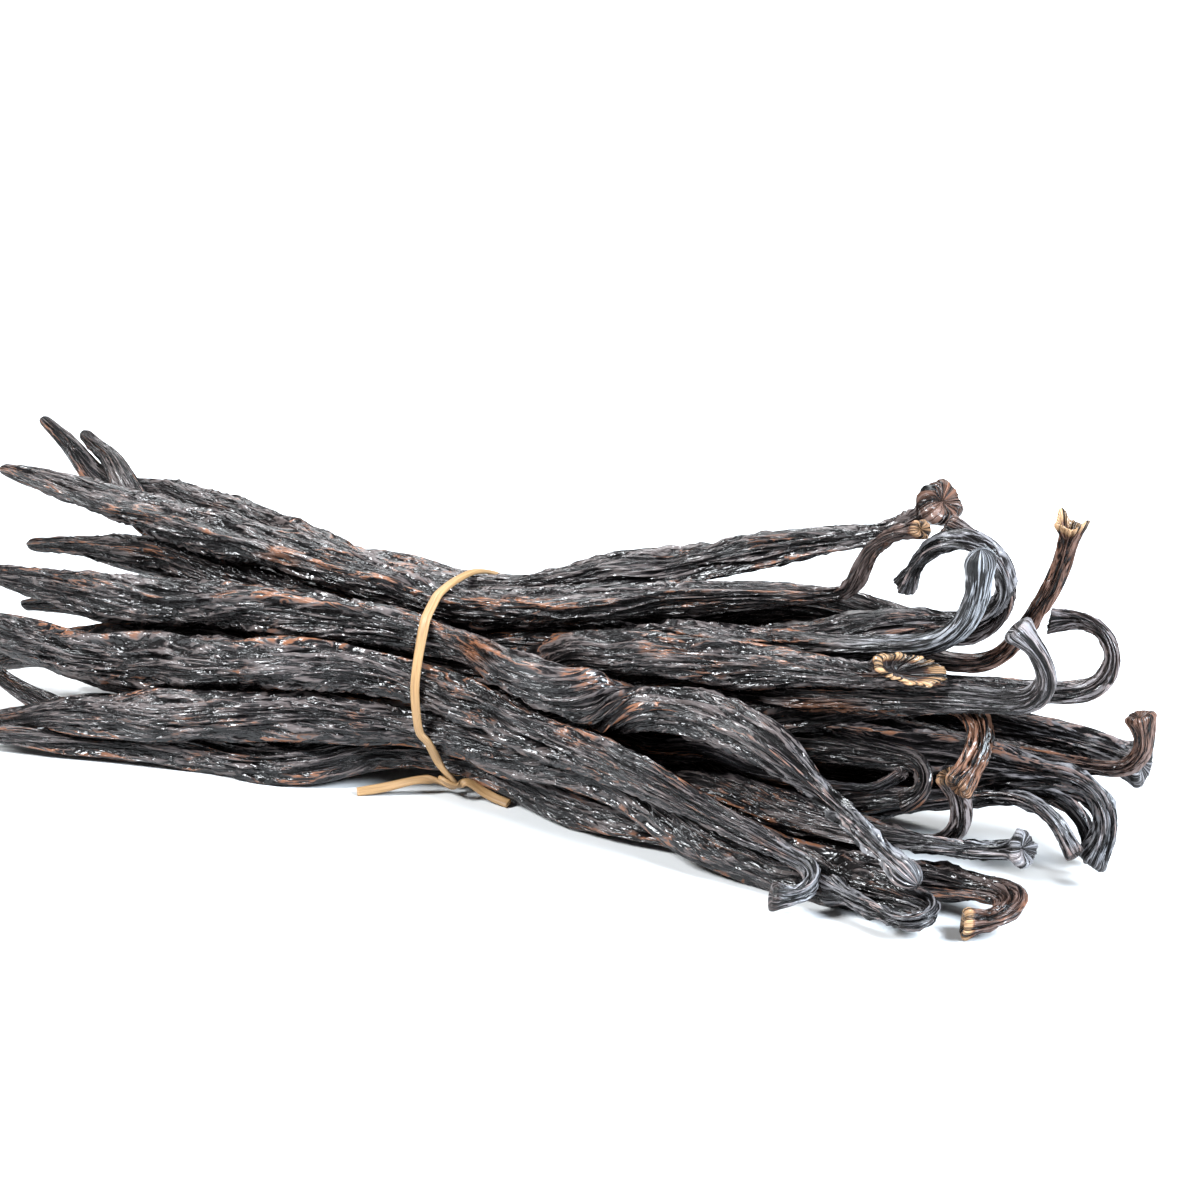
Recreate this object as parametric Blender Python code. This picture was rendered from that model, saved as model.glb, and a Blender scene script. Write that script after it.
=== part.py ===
"""A bundle of cured vanilla pods, held together by one strand of raffia.

The pods lie along X with their stem ends at +X.  The strand goes round the bundle in the plane x = 0
of the table of pods, and the whole bundle rests on the floor.  Lengths in the tables are millimetres;
everything is turned into metres once, where the meshes are made.
"""
import bmesh
import bpy
import math
import numpy as np
from mathutils import Matrix, Vector

# ---- driving dimensions, in mm unless the name says otherwise
MM = 0.001
TIE_RADIUS = 17.3          # centre line of the raffia loop
TIE_HEIGHT = 18.0          # height of the loop's centre above the floor
OUTER_RING = 13.3          # distance of the outer pods from the loop's centre, in the loop's plane
MIDDLE_RING = 7.4          # the same for the second layer of pods
CORE_RING = 1.8            # the same for the pods in the middle
FLATNESS = 0.9             # a pod's thickness as a share of its width
STATION_SPACING = 14.0     # distance between the cross-sections of a straight stretch
CURL_SPACING = 4.0         # the same along a curl
TIP_STATIONS = (0, 2, 6)   # distances of the first cross-sections from the blossom tip
SIDES = 7                  # flat sides of a pod
CURVE_POINTS = 200         # points that a smooth curve is read off at
CURL_POINTS = 60           # the same for a curl
FLOOR = 0.0                # the pods are cut flat here, where they rest
ORIGIN_SHIFT = (-7, 6.5, 0)  # brings the middle of the whole part over the origin

STRAND_WIDTH = 1.7
STRAND_THICKNESS = 0.9
CLEARANCE = 0.3            # gap between the strand and the pods
KNOT_ANGLE = -52.0         # where the knot sits on the loop: in front, low down
KNOT_PULL = 3.0            # how far the knot draws the loop towards the stem ends
KNOT_PULL_REACH = 35.0     # over this many degrees on either side of the knot
KNOT_SIZE = (3.4, 2.6, 2.4)
KNOT_STAND_OFF = 0.5       # how far the knot's middle lies outside the loop
LOOP_STEP = 10             # degrees between the loop's cross-sections
STRAND_SIDES = 6
TAIL_STATIONS = 8
LEFT_TAIL = [(-1.8, -12.3, 2.6), (-6.1, -14.6, 1.5), (-10.8, -17.4, 0.7)]
RIGHT_TAIL = [(6.6, -11.4, 3.4), (9.3, -10.4, 1.9), (14.1, -10.4, 0.8)]
TAIL_FACING = (0, -0.6, 0.8)  # the tails' flat side looks up and forwards

# A core fills the hollows between the pods: (x, y, z, half width, half height) of its oval sections.
CORE = [(-58, -2, 19, 6, 6), (-38, -2, 19, 11, 10), (-15, 0, 18, 12, 12), (20, -1, 19, 12, 12),
        (42, -3, 19, 9, 9), (58, -4, 20, 3, 4)]
CORE_SIDES = 12
FLOOR_BLOCK = (400, 200, 50)
SHARP_ANGLE = 40           # edges that bend by more degrees than this stay sharp

# A pod's width grows from its blossom tip, over these shares of its length ...
TIP_AT = (0.0, 0.015, 0.05, 0.10, 0.16, 0.26)
TIP_SHARE = (0.30, 0.37, 0.50, 0.70, 0.89, 1.0)
# ... and falls to the width of its neck, over these shares of its taper.
TAPER_AT = (0.0, 0.25, 0.50, 0.75, 1.0)
TAPER_SHARE = (1.0, 0.92, 0.72, 0.38, 0.08)
END_FLARE = 1.3            # how much the cut stem end is wider than the neck
TIE_PINCH = 0.16           # how much the strand narrows the pods
PINCH_REACH = 16.0         # over this distance on either side of it

# One row for each pod:
#   blossom tip; points between the tip and the strand; (ring, angle) in the loop's plane, with 0 at the
#   front and 90 on top; points between the strand and the neck; neck, where the stem starts to curl;
#   curls, each (length, turn in degrees, side it bends to: 0 up, 90 front, 180 down, 270 back);
#   greatest width, neck width, and length of the taper between them.
PODS = {
    "top_front": ((-93, 0, 40.5), [(-58, -2, 36.8)], (OUTER_RING, 70),
                  [(22, -4, 33), (42, -2, 38)], (65.3, 0, 41.5), [(8, 60, 10), (15, 50, 190)],
                  (9.8, 3.2, 64)),
    "top_back": ((-93, 12, 46.5), [(-76, 12, 36.9), (-42, 8.5, 31.8)], (OUTER_RING, 98),
                 [(40, 8, 41)], (66, 11, 48), [(14, 26, 10)], (8.0, 4.3, 30)),
    "smooth_end": ((-91, 4, 26), [(-60, 1, 29)], (MIDDLE_RING, 62),
                   [(45, -6, 30)], (81.8, -8, 38.0), [(23, 74, 5)], (8.8, 4.0, 50)),
    "tall_arc": ((-86, 14, 44), [(-76, 12, 37)], (OUTER_RING, 125),
                 [(40, 5, 33), (62, 5, 36.5)], (80.3, 6, 36.5), [(31, 163, 0)], (8.2, 4.2, 25)),
    "inner_arc": ((-70, 4, 26), [(-40, 3, 27)], (MIDDLE_RING, 105),
                  [(40, 2, 30), (62, 3, 35)], (82.8, 4, 38.5), [(40, 236, 15)], (8.0, 4.2, 35)),
    "upright": ((-80, 16, 24), [(-40, 13, 27)], (OUTER_RING, 151),
                [(45, 11, 27)], (82.5, 10, 30), [(15, 54, 350), (18, 24, 350)], (7.2, 3.1, 35)),
    "c_loop": ((-84, 14, 16), [(-40, 10, 20)], (MIDDLE_RING, 140),
               [(50, 6, 23)], (100.5, 10, 28), [(25, 185, 350)], (7.8, 3.1, 45)),
    "front_hook": ((-97, -5, 5), [(-62, -9, 15)], (MIDDLE_RING, -10),
                   [(40, -6, 22)], (100.5, -13, 33.6), [(20, 120, 20)], (8.2, 3.3, 75)),
    "flared_end": ((-90, 0, 16), [(-45, -2, 22)], (MIDDLE_RING, 26),
                   [(40, -8, 28)], (73.4, -12, 33.3), [(13, 15, 10)], (8.6, 4.8, 35)),
    "twisted": ((-100, -6, 23), [(-62, -10.5, 25)], (OUTER_RING, 40),
                [(30, -14, 23.8), (58, -17, 23.6)], (75, -21.5, 17.5), [(19, 2, 170)], (10.2, 5.4, 25)),
    "big_front": ((-102, -11, 16.5), [(-60, -16, 15.2), (-24, -15, 19.6)], (OUTER_RING, 8),
                  [(32, -18, 15)], (72, -24.5, 6.9), [(13, 145, 110)], (10.0, 3.3, 88)),
    "tan_curl": ((-90, -12, 8), [(-76, -14, 4), (-36, -15, 10)], (MIDDLE_RING, -50),
                 [(45, -5, 21)], (87.5, -9, 30), [(21, 120, 140)], (7.4, 4.0, 40)),
    "short_stub": ((-72, -8, 12), [(-36, -8, 12)], (CORE_RING, -60),
                   [(45, -8, 10)], (84, -11, 8), [(21, 110, 15)], (6.6, 3.1, 40)),
    "far_back": ((-88, 20, 20), [(-44, 15, 21)], (OUTER_RING, 176),
                 [(50, 14, 21)], (100, 15, 18.7), [(13, 8, 180)], (8.0, 5.0, 40)),
    "back_hook": ((-80, 20, 12), [(-40, 14, 14)], (OUTER_RING, 202),
                  [(55, 10, 15)], (107.5, 11, 16.4), [(14, 106, 0)], (7.8, 3.0, 45)),
    "wide_low": ((-86, 8, 14), [(-40, 6, 13)], (MIDDLE_RING, 215),
                 [(50, 4, 15)], (103, 3, 17), [(19, 118, 172)], (9.2, 5.0, 17)),
    "under_far": ((-78, 18, 3.2), [(-42, 14, 3.0)], (OUTER_RING, 228),
                  [(46, 12, 3.2)], (101, 12, 11), [(14, 112, 160)], (7.6, 4.0, 35)),
    "under_middle": ((-84, 2, 3.8), [(-38, 3, 2.9)], (OUTER_RING, 253),
                     [(42, 1, 3.0)], (92.5, 0, 12.6), [(19, 70, 172)], (7.6, 3.1, 35)),
    "under_thin": ((-80, 9, 8), [(-40, 7, 9)], (MIDDLE_RING, 260),
                   [(50, 5, 8)], (97.5, 6, 12), [(17, 82, 170)], (6.8, 3.0, 35)),
    "flare": ((-76, -16, 4), [(-40, -10, 6)], (OUTER_RING, -81),
              [(50, -12, 7)], (94, -16, 10.3), [(12, 10, 0)], (8.0, 3.8, 55)),
    "low_hook": ((-82, -24, 3), [(-48, -23.5, 9.5)], (OUTER_RING, -24),
                 [(40, -15, 8.5), (66, -19.5, 4.7)], (92.5, -25.5, 4.2), [(13, 190, 100), (12, 4, 90)],
                 (9.0, 3.6, 26)),
    "low_end": ((-80, -30, 3), [(-44, -19, 3.8), (-24, -16.5, 3.9)], (OUTER_RING, -55),
                [(45, -13, 3.6)], (99.8, -17, 4.8), [(15.5, 160, 106)], (8.8, 4.8, 15)),
    "thin_tip": ((-66, -6, 10), [(-35, -8, 12)], (CORE_RING, 60),
                 [(40, -7, 13)], (73, -7, 13), [(10, 40, 0)], (5.8, 2.2, 30)),
    "dark_loop": ((-90, 2, 20), [(-45, 2, 20)], (CORE_RING, 180),
                  [(40, -2, 18)], (81, -5, 18.6), [(11, 150, 160)], (6.6, 3.4, 30)),
}
# Narrow places of some pods: x, reach along it, depth as a share of the width.
WAISTS = {
    "twisted": [(7, 8, 0.30), (31, 5, 0.08)],
    "big_front": [(-20, 6, 0.05)],
    "top_back": [(38, 6, 0.10)],
}


def spline_through(points):
    """Return points on the smoothest cubic curve through the given points (no bend at its ends)."""
    points = np.array(points, float)
    knots = np.append(0, np.cumsum(np.linalg.norm(np.diff(points, axis=0), axis=1) ** 0.75))
    gaps = np.diff(knots)
    slopes = np.diff(points, axis=0) / gaps[:, None]
    system = np.eye(len(points))
    right = np.zeros_like(points)
    for i in range(1, len(points) - 1):
        system[i, i - 1:i + 2] = gaps[i - 1], 2 * (gaps[i - 1] + gaps[i]), gaps[i]
        right[i] = 6 * (slopes[i] - slopes[i - 1])
    bend = np.linalg.solve(system, right)
    at = np.linspace(0, knots[-1], CURVE_POINTS)
    piece = np.clip(np.searchsorted(knots, at, side="right") - 1, 0, len(gaps) - 1)
    gap = gaps[piece][:, None]
    after = (at - knots[piece])[:, None]
    before = gap - after
    curved = (bend[piece] * (before ** 3 / gap - before * gap)
              + bend[piece + 1] * (after ** 3 / gap - after * gap)) / 6
    return (points[piece] * before + points[piece + 1] * after) / gap + curved


def curl_from(start, heading, length, turn, side):
    """Return the points of one curl and the heading it ends with: it turns fastest half way along."""
    up = np.array((0, 0, 1.0)) - heading * heading[2]
    up /= np.linalg.norm(up)
    front = np.cross(heading, up)
    inward = math.cos(math.radians(side)) * up + math.sin(math.radians(side)) * front
    share = np.linspace(0, 1, CURL_POINTS)[:, None]
    angle = math.radians(turn) * share ** 2 * (3 - 2 * share)
    headings = np.cos(angle) * heading + np.sin(angle) * inward
    return start + np.cumsum(headings, axis=0) * length / CURL_POINTS, headings[-1]


def seat_of(ring, angle):
    """Return the point where a pod's centre line passes through the strand's loop."""
    return (0, -ring * math.cos(math.radians(angle)), TIE_HEIGHT + ring * math.sin(math.radians(angle)))


def pod_stations(name):
    """Return a pod's centre line from tip to stem end, how far along each point is, and where it curls."""
    tip, before, seat, after, neck, curls, _ = PODS[name]
    line = spline_through([tip, *before, seat_of(*seat), *after, neck])
    heading = line[-1] - line[-2]
    heading /= np.linalg.norm(heading)
    straight_length = np.linalg.norm(np.diff(line, axis=0), axis=1).sum()
    for curl in curls:
        bent, heading = curl_from(line[-1], heading, *curl)
        line = np.vstack([line, bent])
    run = np.append(0, np.cumsum(np.linalg.norm(np.diff(line, axis=0), axis=1)))
    straight_count = round(straight_length / STATION_SPACING)
    curl_count = round((run[-1] - straight_length) / CURL_SPACING)
    at = np.concatenate([TIP_STATIONS[:-1], np.linspace(TIP_STATIONS[-1], straight_length, straight_count),
                         np.linspace(straight_length, run[-1], curl_count + 1)[1:]])
    return np.stack([np.interp(at, run, line[:, axis]) for axis in range(3)], axis=1), at, straight_length


def half_width(name, x, at, straight_length):
    """Return half a pod's width at each point: grown from the tip, tapered to the neck, pinched at x = 0."""
    width, neck, taper = PODS[name][6]
    grown = width * np.interp(at / at[-1], TIP_AT, TIP_SHARE)
    fall = np.interp((at - straight_length) / taper + 1, TAPER_AT, TAPER_SHARE)
    half = (neck + (grown - neck) * fall) / 2
    for middle, reach, deep in [(0, PINCH_REACH, TIE_PINCH), *WAISTS.get(name, ())]:
        half *= 1 - deep * np.exp(-((x - middle) / reach) ** 2)
    half[-1] *= END_FLARE
    return half


def carried_frames(line):
    """Return a tangent and a sideways direction at each point, carried along without twisting."""
    tangents = np.gradient(line, axis=0)
    tangents /= np.linalg.norm(tangents, axis=1)[:, None]
    sideways = np.zeros_like(line)
    direction = np.array((0, 0, 1.0))
    for i, tangent in enumerate(tangents):
        direction = direction - tangent * (direction @ tangent)
        direction /= np.linalg.norm(direction)
        sideways[i] = direction
    return tangents, sideways


def pod_tube(name):
    """Return the vertices (metres) and faces of one pod: elliptical rings and two end caps."""
    line, at, straight_length = pod_stations(name)
    tangents, upward = carried_frames(line)
    sideways = np.cross(tangents, upward)
    turn = math.radians(90 - PODS[name][2][1])
    broad = sideways * math.cos(turn) + upward * math.sin(turn)
    thin = np.cross(tangents, broad)
    half = half_width(name, line[:, 0], at, straight_length)[:, None, None]
    around = np.linspace(0, 2 * math.pi, SIDES, endpoint=False)
    rings = line[:, None] + half * (np.cos(around)[None, :, None] * broad[:, None]
                                    + FLATNESS * np.sin(around)[None, :, None] * thin[:, None])
    return rings.reshape(-1, 3) * MM, ring_faces(len(line), SIDES)


def make_object(name, vertices, faces):
    """Return a new object in the scene, made of triangles that face outwards."""
    mesh = bpy.data.meshes.new(name)
    mesh.from_pydata([tuple(vertex) for vertex in vertices], [], faces)
    shape = bmesh.new()
    shape.from_mesh(mesh)
    bmesh.ops.recalc_face_normals(shape, faces=shape.faces)
    bmesh.ops.triangulate(shape, faces=shape.faces)
    shape.to_mesh(mesh)
    shape.free()
    made = bpy.data.objects.new(name, mesh)
    bpy.context.scene.collection.objects.link(made)
    return made


def combine(target, tool, operation):
    """Join or cut target with tool by an exact Boolean, and take the tool away."""
    boolean = target.modifiers.new("combine", "BOOLEAN")
    boolean.operation = operation
    boolean.solver = "EXACT"
    boolean.object = tool
    bpy.context.view_layer.update()
    result = bpy.data.meshes.new_from_object(target.evaluated_get(bpy.context.evaluated_depsgraph_get()))
    target.modifiers.clear()
    target.data = result
    bpy.data.objects.remove(tool)


def fill_hollows(target):
    """Keep only the outer surface, so that no sealed hollow is left between the pods."""
    shape = bmesh.new()
    shape.from_mesh(target.data)
    unseen = set(shape.verts)
    shells = []
    while unseen:
        shell = [unseen.pop()]
        for vertex in shell:
            linked = {edge.other_vert(vertex) for edge in vertex.link_edges} & unseen
            unseen -= linked
            shell.extend(linked)
        shells.append(shell)
    shells.sort(key=len)
    inner = [vertex for shell in shells[:-1] for vertex in shell]
    bmesh.ops.delete(shape, geom=inner, context="VERTS")
    shape.to_mesh(target.data)
    shape.free()


def ring_faces(ring_count, sides, closed=False):
    """Return the side faces between rings of points, with end caps unless the rings close on themselves."""
    faces = []
    for i in range(ring_count if closed else ring_count - 1):
        this, following = i * sides, (i + 1) % ring_count * sides
        for j in range(sides):
            k = (j + 1) % sides
            faces.append((this + j, this + k, following + k, following + j))
    if not closed:
        faces.append(tuple(range(sides))[::-1])
        faces.append(tuple(range((ring_count - 1) * sides, ring_count * sides)))
    return faces


def core_solid():
    """Return the core: oval sections joined from end to end."""
    around = np.linspace(0, 2 * math.pi, CORE_SIDES, endpoint=False)
    rings = [np.stack([np.full(CORE_SIDES, x), y + wide * np.cos(around), z + high * np.sin(around)], axis=1)
             for x, y, z, wide, high in CORE]
    return make_object("core", np.vstack(rings) * MM, ring_faces(len(CORE), CORE_SIDES))


def loop_points():
    """Return the centre line of the strand's loop, drawn aside where the knot pulls at it."""
    angle = np.arange(-180, 180, LOOP_STEP)
    aside = KNOT_PULL * np.exp(-((angle - KNOT_ANGLE) / KNOT_PULL_REACH) ** 2)
    turn = np.radians(angle)
    return np.stack([aside, -TIE_RADIUS * np.cos(turn), TIE_HEIGHT + TIE_RADIUS * np.sin(turn)], axis=1)


def strand_solid(name, line, outward, extra, closed):
    """Return a flat oval strand along line, extra thicker all round, lying flat against outward."""
    tangents = np.roll(line, -1, axis=0) - np.roll(line, 1, axis=0) if closed else np.gradient(line, axis=0)
    tangents /= np.linalg.norm(tangents, axis=1)[:, None]
    flat = outward - tangents * (outward * tangents).sum(axis=1)[:, None]
    flat /= np.linalg.norm(flat, axis=1)[:, None]
    broad = np.cross(tangents, flat)
    around = np.linspace(0, 2 * math.pi, STRAND_SIDES, endpoint=False)
    rings = (line[:, None]
             + (STRAND_WIDTH / 2 + extra) * np.cos(around)[None, :, None] * broad[:, None]
             + (STRAND_THICKNESS / 2 + extra) * np.sin(around)[None, :, None] * flat[:, None])
    return make_object(name, rings.reshape(-1, 3) * MM, ring_faces(len(line), STRAND_SIDES, closed))


def knot_point():
    """Return the middle of the knot."""
    turn = math.radians(KNOT_ANGLE)
    reach = TIE_RADIUS + KNOT_STAND_OFF
    return np.array((KNOT_PULL, -reach * math.cos(turn), TIE_HEIGHT + reach * math.sin(turn)))


def tie_solid(extra):
    """Return the strand, extra thicker all round: loop, knot and two tails joined into one."""
    line = loop_points()
    tie = strand_solid("tie", line, line - (0, 0, TIE_HEIGHT), extra, closed=True)
    bpy.ops.mesh.primitive_ico_sphere_add(subdivisions=2, radius=0.5)
    knot = bpy.context.object
    knot.scale = [(size + 2 * extra) * MM for size in KNOT_SIZE]
    knot.location = knot_point() * MM
    bpy.context.view_layer.update()
    knot.data.transform(knot.matrix_world)
    knot.matrix_world.identity()
    combine(tie, knot, "UNION")
    for tail in (LEFT_TAIL, RIGHT_TAIL):
        route = spline_through([knot_point(), *tail])[::CURVE_POINTS // TAIL_STATIONS]
        combine(tie, strand_solid("tail", route, np.array(TAIL_FACING), extra, closed=False), "UNION")
    return tie


def floor_cutter():
    """Return a block that takes away everything below the floor."""
    bpy.ops.mesh.primitive_cube_add(size=1)
    block = bpy.context.object
    size = Vector(FLOOR_BLOCK) * MM
    block.data.transform(Matrix.Diagonal((*size, 1)))
    block.data.transform(Matrix.Translation((0, 0, FLOOR * MM - size.z / 2)))
    return block


def material_of(name, colour, roughness):
    """Return a plain material with the given colour."""
    made = bpy.data.materials.new(name)
    made.use_nodes = True
    shader = made.node_tree.nodes["Principled BSDF"]
    shader.inputs["Base Color"].default_value = (*colour, 1)
    shader.inputs["Roughness"].default_value = roughness
    shader.inputs["Metallic"].default_value = 0.0
    return made


def finish(made, material):
    """Move a finished solid onto the part's origin and give it its material and shading."""
    made.data.transform(Matrix.Translation(Vector(ORIGIN_SHIFT) * MM))
    made.data.materials.clear()
    made.data.materials.append(material)
    made.data.shade_smooth()
    made.data.set_sharp_from_angle(angle=math.radians(SHARP_ANGLE))


def build():
    """Make the two solids: the heap of pods and the raffia strand round it."""
    for old in list(bpy.data.objects):
        bpy.data.objects.remove(old)
    pods = core_solid()
    pods.name = "pods"
    for name in PODS:
        combine(pods, make_object(name, *pod_tube(name)), "UNION")
    fill_hollows(pods)
    combine(pods, floor_cutter(), "DIFFERENCE")
    combine(pods, tie_solid(CLEARANCE), "DIFFERENCE")
    fill_hollows(pods)
    tie = tie_solid(0)
    finish(pods, material_of("vanilla_skin", (0.035, 0.022, 0.017), 0.42))
    finish(tie, material_of("raffia", (0.68, 0.50, 0.27), 0.55))


build()
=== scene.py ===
# %% [markdown]
# # A bundle of vanilla pods
# Cured vanilla pods are the long seed capsules of an orchid: dried until they are soft as leather,
# almost black, oily, and wrinkled all along their length.  The seller straightens them by hand and ties
# them round the middle, and the dry stem ends fan out and curl.  This lesson makes each pod as its own
# closed mesh, lets the pods press against each other, and ties them with one strand of raffia.

# %% Load the frame
import itertools
import math

import bpy
import numpy as np
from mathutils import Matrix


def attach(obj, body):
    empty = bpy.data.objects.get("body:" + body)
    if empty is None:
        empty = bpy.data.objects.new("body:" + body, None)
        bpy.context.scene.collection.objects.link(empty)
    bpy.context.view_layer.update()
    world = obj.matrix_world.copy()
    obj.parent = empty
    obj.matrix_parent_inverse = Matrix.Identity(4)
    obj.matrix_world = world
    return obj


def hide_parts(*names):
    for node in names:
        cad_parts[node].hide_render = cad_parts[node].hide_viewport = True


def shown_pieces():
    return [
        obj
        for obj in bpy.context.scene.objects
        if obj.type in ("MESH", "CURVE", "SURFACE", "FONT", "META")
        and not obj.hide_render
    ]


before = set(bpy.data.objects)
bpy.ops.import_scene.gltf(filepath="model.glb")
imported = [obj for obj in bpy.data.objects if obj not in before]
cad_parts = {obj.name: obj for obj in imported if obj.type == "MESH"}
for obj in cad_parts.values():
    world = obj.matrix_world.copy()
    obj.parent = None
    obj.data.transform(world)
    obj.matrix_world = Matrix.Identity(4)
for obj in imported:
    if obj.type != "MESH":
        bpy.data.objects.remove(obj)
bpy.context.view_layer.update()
MM = 0.001

# %% [markdown]
# ## Sizes
# The bundle is laid out in millimetres round the raffia loop: the loop stands in the plane x = 0, the
# pods run along X with their stem ends at +X, and the table top is z = 0.  The solid model has the same
# sizes, so a pod made from this table lands where its solid is.  One shift, at the very end, moves
# everything onto the part's origin.

# %% Driving sizes, mm
TIE_RADIUS = 17.3            # centre line of the raffia loop
TIE_HEIGHT = 18.0            # height of the loop's centre
OUTER_RING = 13.3            # distance of the outer pods from the loop's centre
MIDDLE_RING = 7.4
CORE_RING = 1.8
FLATNESS = 0.9               # a pod's thickness as a share of its width
ORIGIN_SHIFT = np.array((-7, 6.5, 0))

# a pod's width grows from its tip, over these shares of its length
TIP_AT = (0.0, 0.015, 0.05, 0.10, 0.16, 0.26)
TIP_SHARE = (0.30, 0.37, 0.50, 0.70, 0.89, 1.0)
# and falls to the width of its neck, over these shares of its taper
TAPER_AT = (0.0, 0.25, 0.50, 0.75, 1.0)
TAPER_SHARE = (1.0, 0.92, 0.72, 0.38, 0.08)
TIE_PINCH = 0.16             # how much the strand narrows the pods
PINCH_REACH = 16.0           # over this distance on either side of it

# %% The pods
# blossom tip; points before the strand; (ring, angle) at the strand, 0 in front and 90 on top; points
# after it; neck; curls (length, turn, side it bends to: 0 up, 90 front, 180 down, 270 back);
# (greatest width, neck width, length of the taper between them)
PODS = {
    "top_front": ((-93, 0, 40.5), [(-58, -2, 36.8)], (OUTER_RING, 70),
                  [(22, -4, 33), (42, -2, 38)], (65.3, 0, 41.5), [(8, 60, 10), (15, 50, 190)],
                  (9.8, 3.2, 64)),
    "top_back": ((-93, 12, 46.5), [(-76, 12, 36.9), (-42, 8.5, 31.8)], (OUTER_RING, 98),
                 [(40, 8, 41)], (66, 11, 48), [(14, 26, 10)], (8.0, 4.3, 30)),
    "smooth_end": ((-91, 4, 26), [(-60, 1, 29)], (MIDDLE_RING, 62),
                   [(45, -6, 30)], (81.8, -8, 38.0), [(23, 74, 5)], (8.8, 4.0, 50)),
    "tall_arc": ((-86, 14, 44), [(-76, 12, 37)], (OUTER_RING, 125),
                 [(40, 5, 33), (62, 5, 36.5)], (80.3, 6, 36.5), [(31, 163, 0)], (8.2, 4.2, 25)),
    "inner_arc": ((-70, 4, 26), [(-40, 3, 27)], (MIDDLE_RING, 105),
                  [(40, 2, 30), (62, 3, 35)], (82.8, 4, 38.5), [(40, 236, 15)], (8.0, 4.2, 35)),
    "upright": ((-80, 16, 24), [(-40, 13, 27)], (OUTER_RING, 151),
                [(45, 11, 27)], (82.5, 10, 30), [(15, 54, 350), (18, 24, 350)], (7.2, 3.1, 35)),
    "c_loop": ((-84, 14, 16), [(-40, 10, 20)], (MIDDLE_RING, 140),
               [(50, 6, 23)], (100.5, 10, 28), [(25, 185, 350)], (7.8, 3.1, 45)),
    "front_hook": ((-97, -5, 5), [(-62, -9, 15)], (MIDDLE_RING, -10),
                   [(40, -6, 22)], (100.5, -13, 33.6), [(20, 120, 20)], (8.2, 3.3, 75)),
    "flared_end": ((-90, 0, 16), [(-45, -2, 22)], (MIDDLE_RING, 26),
                   [(40, -8, 28)], (73.4, -12, 33.3), [(13, 15, 10)], (8.6, 4.8, 35)),
    "twisted": ((-100, -6, 23), [(-62, -10.5, 25)], (OUTER_RING, 40),
                [(30, -14, 23.8), (58, -17, 23.6)], (75, -21.5, 17.5), [(19, 2, 170)], (10.2, 5.4, 25)),
    "big_front": ((-102, -11, 16.5), [(-60, -16, 15.2), (-24, -15, 19.6)], (OUTER_RING, 8),
                  [(32, -18, 15)], (72, -24.5, 6.9), [(13, 145, 110)], (10.0, 3.3, 88)),
    "tan_curl": ((-90, -12, 8), [(-76, -14, 4), (-36, -15, 10)], (MIDDLE_RING, -50),
                 [(45, -5, 21)], (87.5, -9, 30), [(21, 120, 140)], (7.4, 4.0, 40)),
    "short_stub": ((-72, -8, 12), [(-36, -8, 12)], (CORE_RING, -60),
                   [(45, -8, 10)], (84, -11, 8), [(21, 110, 15)], (6.6, 3.1, 40)),
    "far_back": ((-88, 20, 20), [(-44, 15, 21)], (OUTER_RING, 176),
                 [(50, 14, 21)], (100, 15, 18.7), [(13, 8, 180)], (8.0, 5.0, 40)),
    "back_hook": ((-80, 20, 12), [(-40, 14, 14)], (OUTER_RING, 202),
                  [(55, 10, 15)], (107.5, 11, 16.4), [(14, 106, 0)], (7.8, 3.0, 45)),
    "wide_low": ((-86, 8, 14), [(-40, 6, 13)], (MIDDLE_RING, 215),
                 [(50, 4, 15)], (103, 3, 17), [(19, 118, 172)], (9.2, 5.0, 17)),
    "under_far": ((-78, 18, 3.2), [(-42, 14, 3.0)], (OUTER_RING, 228),
                  [(46, 12, 3.2)], (101, 12, 11), [(14, 112, 160)], (7.6, 4.0, 35)),
    "under_middle": ((-84, 2, 3.8), [(-38, 3, 2.9)], (OUTER_RING, 253),
                     [(42, 1, 3.0)], (92.5, 0, 12.6), [(19, 70, 172)], (7.6, 3.1, 35)),
    "under_thin": ((-80, 9, 8), [(-40, 7, 9)], (MIDDLE_RING, 260),
                   [(50, 5, 8)], (97.5, 6, 12), [(17, 82, 170)], (6.8, 3.0, 35)),
    "flare": ((-76, -16, 4), [(-40, -10, 6)], (OUTER_RING, -81),
              [(50, -12, 7)], (94, -16, 10.3), [(12, 10, 0)], (8.0, 3.8, 55)),
    "low_hook": ((-82, -24, 3), [(-48, -23.5, 9.5)], (OUTER_RING, -24),
                 [(40, -15, 8.5), (66, -19.5, 4.7)], (92.5, -25.5, 4.2), [(13, 190, 100), (12, 4, 90)],
                 (9.0, 3.6, 26)),
    "low_end": ((-80, -30, 3), [(-44, -19, 3.8), (-24, -16.5, 3.9)], (OUTER_RING, -55),
                [(45, -13, 3.6)], (99.8, -17, 4.8), [(15.5, 160, 106)], (8.8, 4.8, 15)),
    "thin_tip": ((-66, -6, 10), [(-35, -8, 12)], (CORE_RING, 60),
                 [(40, -7, 13)], (73, -7, 13), [(10, 40, 0)], (5.8, 2.2, 30)),
    "dark_loop": ((-90, 2, 20), [(-45, 2, 20)], (CORE_RING, 180),
                  [(40, -2, 18)], (81, -5, 18.6), [(11, 150, 160)], (6.6, 3.4, 30)),
}
# narrow places: x, reach along it, depth as a share of the width
WAISTS = {
    "twisted": [(7, 8, 0.30), (31, 5, 0.08)],
    "big_front": [(-20, 6, 0.05)],
    "top_back": [(38, 6, 0.10)],
}
print(len(PODS), "pods")

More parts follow.
